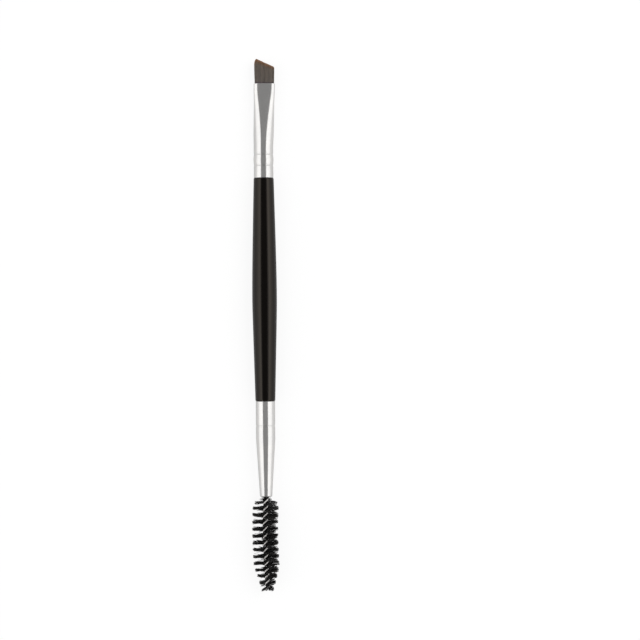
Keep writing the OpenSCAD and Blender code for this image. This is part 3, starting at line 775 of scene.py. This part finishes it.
BRISTLES = 1480
BRISTLE_R, BRISTLE_SIDES = 0.056, 5
BRISTLE_POINTS = (-1.0, -0.8, -0.6, -0.4, -0.2, -0.08, 0.08, 0.2, 0.4, 0.6, 0.8, 1.0)
TAPER_CURVE = 1.3  # the trimmed outline tapers slowly at first
THIN_LEN, THIN_SHARE = 1.3, 0.6  # the first length, where so many of the bristles are missing
CLUMP = 11  # neighbouring bristles that lean together
CLUMP_RISE, CLUMP_SWING = 0.13, 0.04  # how much such groups vary
OWN_LEN, OWN_RISE, OWN_SWING = 0.015, 0.18, 0.08  # how much each bristle varies
FIRST_LEAN, FIRST_LEAN_LEN = 0.75, 1.3  # lean along the wire at the ferrule, and where it ends
LAST_LEAN, LAST_LEAN_FROM, LAST_LEAN_LEN = 0.95, 23.6, 2.4  # the same at the tip, and where it starts
LAST_LEAN_FACING = 0.45  # share of it that the bristles on one side lack
LAST_PAST_TIP = 0.4  # how far their ends may reach past the last bristle
LEAN_SIDEWAYS = 0.27  # how far the tips of the bristles that point up or down lean to the right
STRAIGHT = 0.14  # share of a bristle's length that the wire holds straight
PINCHED = 0.12  # how far bristles lie beside each other between the legs of the wire
STUBS = 44  # short loose bristles next to the ferrule
STUB_FROM, STUB_TO = -0.7, 0.4  # where they stand, from the first bristle
STUB_SHORTEST, STUB_LONGEST = 0.9, 2.0


def trimmed_r(at):
    """Radius that the bristles are trimmed to, at a distance from the first bristle."""
    past = at - (BRISTLE_LEN - TAPER_LEN)
    if at < NECK_LEN:
        return between(NECK_R, SPOOLIE_R, math.sin(math.pi / 2 * max(at, 0) / NECK_LEN))
    if past > 0:
        return between(SPOOLIE_R, TIP_R, min(past / TAPER_LEN, 1) ** TAPER_CURVE)
    return SPOOLIE_R


def lean_along(at, facing):
    """How far bristles lean along the wire, away from the ferrule at first and past the tip at last."""
    first = FIRST_LEAN * max(0, 1 - at / FIRST_LEAN_LEN)
    last = LAST_LEAN * eased((at - LAST_LEAN_FROM) / LAST_LEAN_LEN)
    last *= 1 - LAST_LEAN_FACING * max(facing, 0)
    return -min(first + last, BRISTLE_LEN + LAST_PAST_TIP - at)


def bristle(z, turned, ends, beside):
    """A bristle through the wire, with the length, rise and swing of its two ends; the floor bends it."""
    path = []
    for share in BRISTLE_POINTS:
        length, rise, swing = ends[-1 if share < 0 else 1]
        away = max(0, abs(share) - STRAIGHT) / (1 - STRAIGHT)
        a = turned + swing * away
        place = share * length * Vector((math.cos(a), math.sin(a), 0))
        place += beside * Vector((-math.sin(turned), math.cos(turned), 0))
        place += Vector((bend(z), 0, z + rise * away))
        place.y -= max(0.0, BRISTLE_R - (LAID @ place).z / MM)
        path.append(place)
    return strand(path, [BRISTLE_R] * len(path), BRISTLE_SIDES)


def make_bristles():
    """Nylon bristles that pass between the legs of the wire and stand out as a double helix."""
    chance = random.Random(11)
    forms = []
    for k in range(BRISTLES):
        at = BRISTLE_LEN * (k + chance.uniform(0.1, 0.9)) / BRISTLES
        if k % CLUMP == 0:
            together = {way: (chance.gauss(0, CLUMP_RISE), chance.gauss(0, CLUMP_SWING))
                        for way in (-1, 1)}
        if at < THIN_LEN and chance.random() < THIN_SHARE:
            continue
        z = NOSE_Z - BRISTLE_START - at
        turned = bristle_angle(z) + chance.gauss(0, 0.03)
        ends = {}
        for way in (-1, 1):
            facing = math.cos(turned) * way
            upward = math.sin(turned) * way
            loose = 1.0 + 0.5 * abs(upward)
            sideways = LEAN_SIDEWAYS * (1 - 0.7 * abs(facing)) * chance.uniform(0.3, 1.5)
            sideways *= upward * abs(upward)
            ends[way] = (trimmed_r(at) * (1 + chance.gauss(0, OWN_LEN) * loose),
                         together[way][0] + chance.gauss(0, OWN_RISE) * loose + lean_along(at, facing),
                         together[way][1] + chance.gauss(0, OWN_SWING) * loose - sideways)
        forms.append(bristle(z, turned, ends, chance.uniform(-PINCHED, PINCHED)))
    for _ in range(STUBS):
        z = NOSE_Z - BRISTLE_START - chance.uniform(STUB_FROM, STUB_TO)
        ends = {way: (chance.uniform(STUB_SHORTEST, STUB_LONGEST), chance.uniform(0.0, 0.5),
                      chance.gauss(0, 0.3)) for way in (-1, 1)}
        forms.append(bristle(z, bristle_angle(z) + chance.gauss(0, 0.4), ends, 0.0))
    tones, reach = [], []
    for corners, _ in forms:
        tones += [chance.random()] * len(corners)
        reach += [abs(share) for share in BRISTLE_POINTS for _ in range(BRISTLE_SIDES)]
    piece("bristle_fan", joined(forms), nylon(), ["spoolie_bristles"], tones, reach)


# The whole scene

bpy.context.scene.view_settings.view_transform = "Standard"
make_camera()
make_floor()
make_world()
make_lamp("key lamp", place=(0.45, 0.15, 0.55), size=0.5, power=1.8)
make_lamp("fill lamp", place=(-0.5, -0.1, 0.5), size=0.6, power=1.1)

aluminium = ferrule_metal()
make_handle()
make_brush_ferrule(aluminium)
make_spoolie_ferrule(aluminium)
make_brush_hair()
make_spoolie_wire()
make_bristles()
glue = amber_glue()
for hidden_node in ("hair_glue", "spoolie_glue"):
    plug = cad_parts[hidden_node]
    plug.data.materials.clear()
    plug.data.materials.append(glue)
